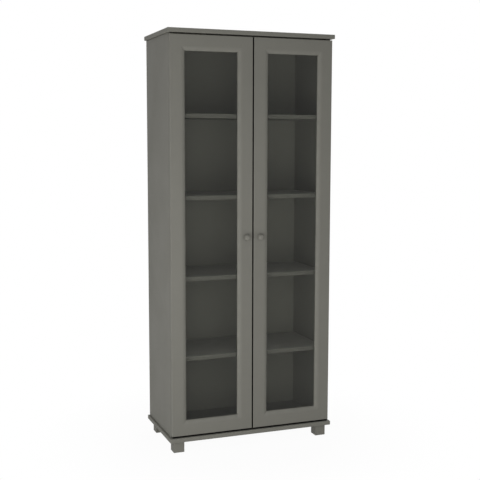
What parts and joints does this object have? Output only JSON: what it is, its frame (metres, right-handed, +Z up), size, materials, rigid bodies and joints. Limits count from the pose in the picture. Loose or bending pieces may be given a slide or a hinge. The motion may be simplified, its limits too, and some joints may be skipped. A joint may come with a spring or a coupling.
{
  "type": "display cabinet",
  "caption": "Tall glazed display cabinet on square block feet: moulded glass doors on concealed hinges close over open shelves between an overhanging top board and base board.",
  "frame": {"origin": "middle of the bounding box's bottom, on the floor under the feet", "axes": "+Z up, -Y the way the doors face, +X to the right seen from the front"},
  "size_m": [0.8, 0.42, 1.9],
  "materials": {
    "paint": "satin warm grey paint on board",
    "backing": "matt grey hardboard",
    "glass": "clear float glass",
    "steel": "nickel-plated steel",
    "plastic": "moulded grey plastic"
  },
  "bodies": {
    "carcass": {"top_board": "paint", "base_board": "paint", "side_panel_left": "paint", "side_panel_right": "paint", "back_panel": "backing", "shelf_1": "paint", "shelf_2_fixed": "paint", "shelf_3": "paint", "shelf_4": "paint", "foot_front_left": "paint", "foot_front_right": "paint", "foot_rear_left": "paint", "foot_rear_right": "paint", "shelf_pin_1_front_left": "plastic", "shelf_pin_1_front_right": "plastic", "shelf_pin_1_rear_left": "plastic", "shelf_pin_1_rear_right": "plastic", "shelf_pin_3_front_left": "plastic", "shelf_pin_3_front_right": "plastic", "shelf_pin_3_rear_left": "plastic", "shelf_pin_3_rear_right": "plastic", "shelf_pin_4_front_left": "plastic", "shelf_pin_4_front_right": "plastic", "shelf_pin_4_rear_left": "plastic", "shelf_pin_4_rear_right": "plastic", "hinge_arm_left_1": "steel", "hinge_arm_left_2": "steel", "hinge_arm_left_3": "steel", "hinge_arm_right_1": "steel", "hinge_arm_right_2": "steel", "hinge_arm_right_3": "steel"},
    "left_door": {"left_door_hinge_stile": "paint", "left_door_lock_stile": "paint", "left_door_top_rail": "paint", "left_door_bottom_rail": "paint", "left_door_glass": "glass", "left_door_glass_retainer": "plastic", "left_knob": "paint", "left_knob_screw": "steel", "hinge_cup_left_1": "steel", "hinge_cup_left_2": "steel", "hinge_cup_left_3": "steel"},
    "right_door": {"right_door_hinge_stile": "paint", "right_door_lock_stile": "paint", "right_door_top_rail": "paint", "right_door_bottom_rail": "paint", "right_door_glass": "glass", "right_door_glass_retainer": "plastic", "right_knob": "paint", "right_knob_screw": "steel", "hinge_cup_right_1": "steel", "hinge_cup_right_2": "steel", "hinge_cup_right_3": "steel"},
    "left_hinge_links": {"hinge_link_left_1": "steel", "hinge_link_left_2": "steel", "hinge_link_left_3": "steel"},
    "right_hinge_links": {"hinge_link_right_1": "steel", "hinge_link_right_2": "steel", "hinge_link_right_3": "steel"}
  },
  "joints": [
    {"name": "left_door_swing", "type": "hinge", "parent": "carcass", "child": "left_door", "pos_m": [-0.3828, -0.173, 0.9773], "axis": [0, 0, -1], "range_deg": [0, 100]},
    {"name": "right_door_swing", "type": "hinge", "parent": "carcass", "child": "right_door", "pos_m": [0.3828, -0.173, 0.9773], "axis": [0, 0, 1], "range_deg": [0, 100]},
    {"name": "left_links_turn", "type": "hinge", "parent": "carcass", "child": "left_hinge_links", "pos_m": [-0.3644, -0.1681, 0.9773], "axis": [0, 0, -1], "range_deg": [-56, 0]},
    {"name": "right_links_turn", "type": "hinge", "parent": "carcass", "child": "right_hinge_links", "pos_m": [0.3644, -0.1681, 0.9773], "axis": [0, 0, 1], "range_deg": [-56, 0]}
  ],
  "couplings": [
    {"joint": "left_links_turn", "follows": "left_door_swing", "ratio": -0.553},
    {"joint": "right_links_turn", "follows": "right_door_swing", "ratio": -0.553}
  ]
}
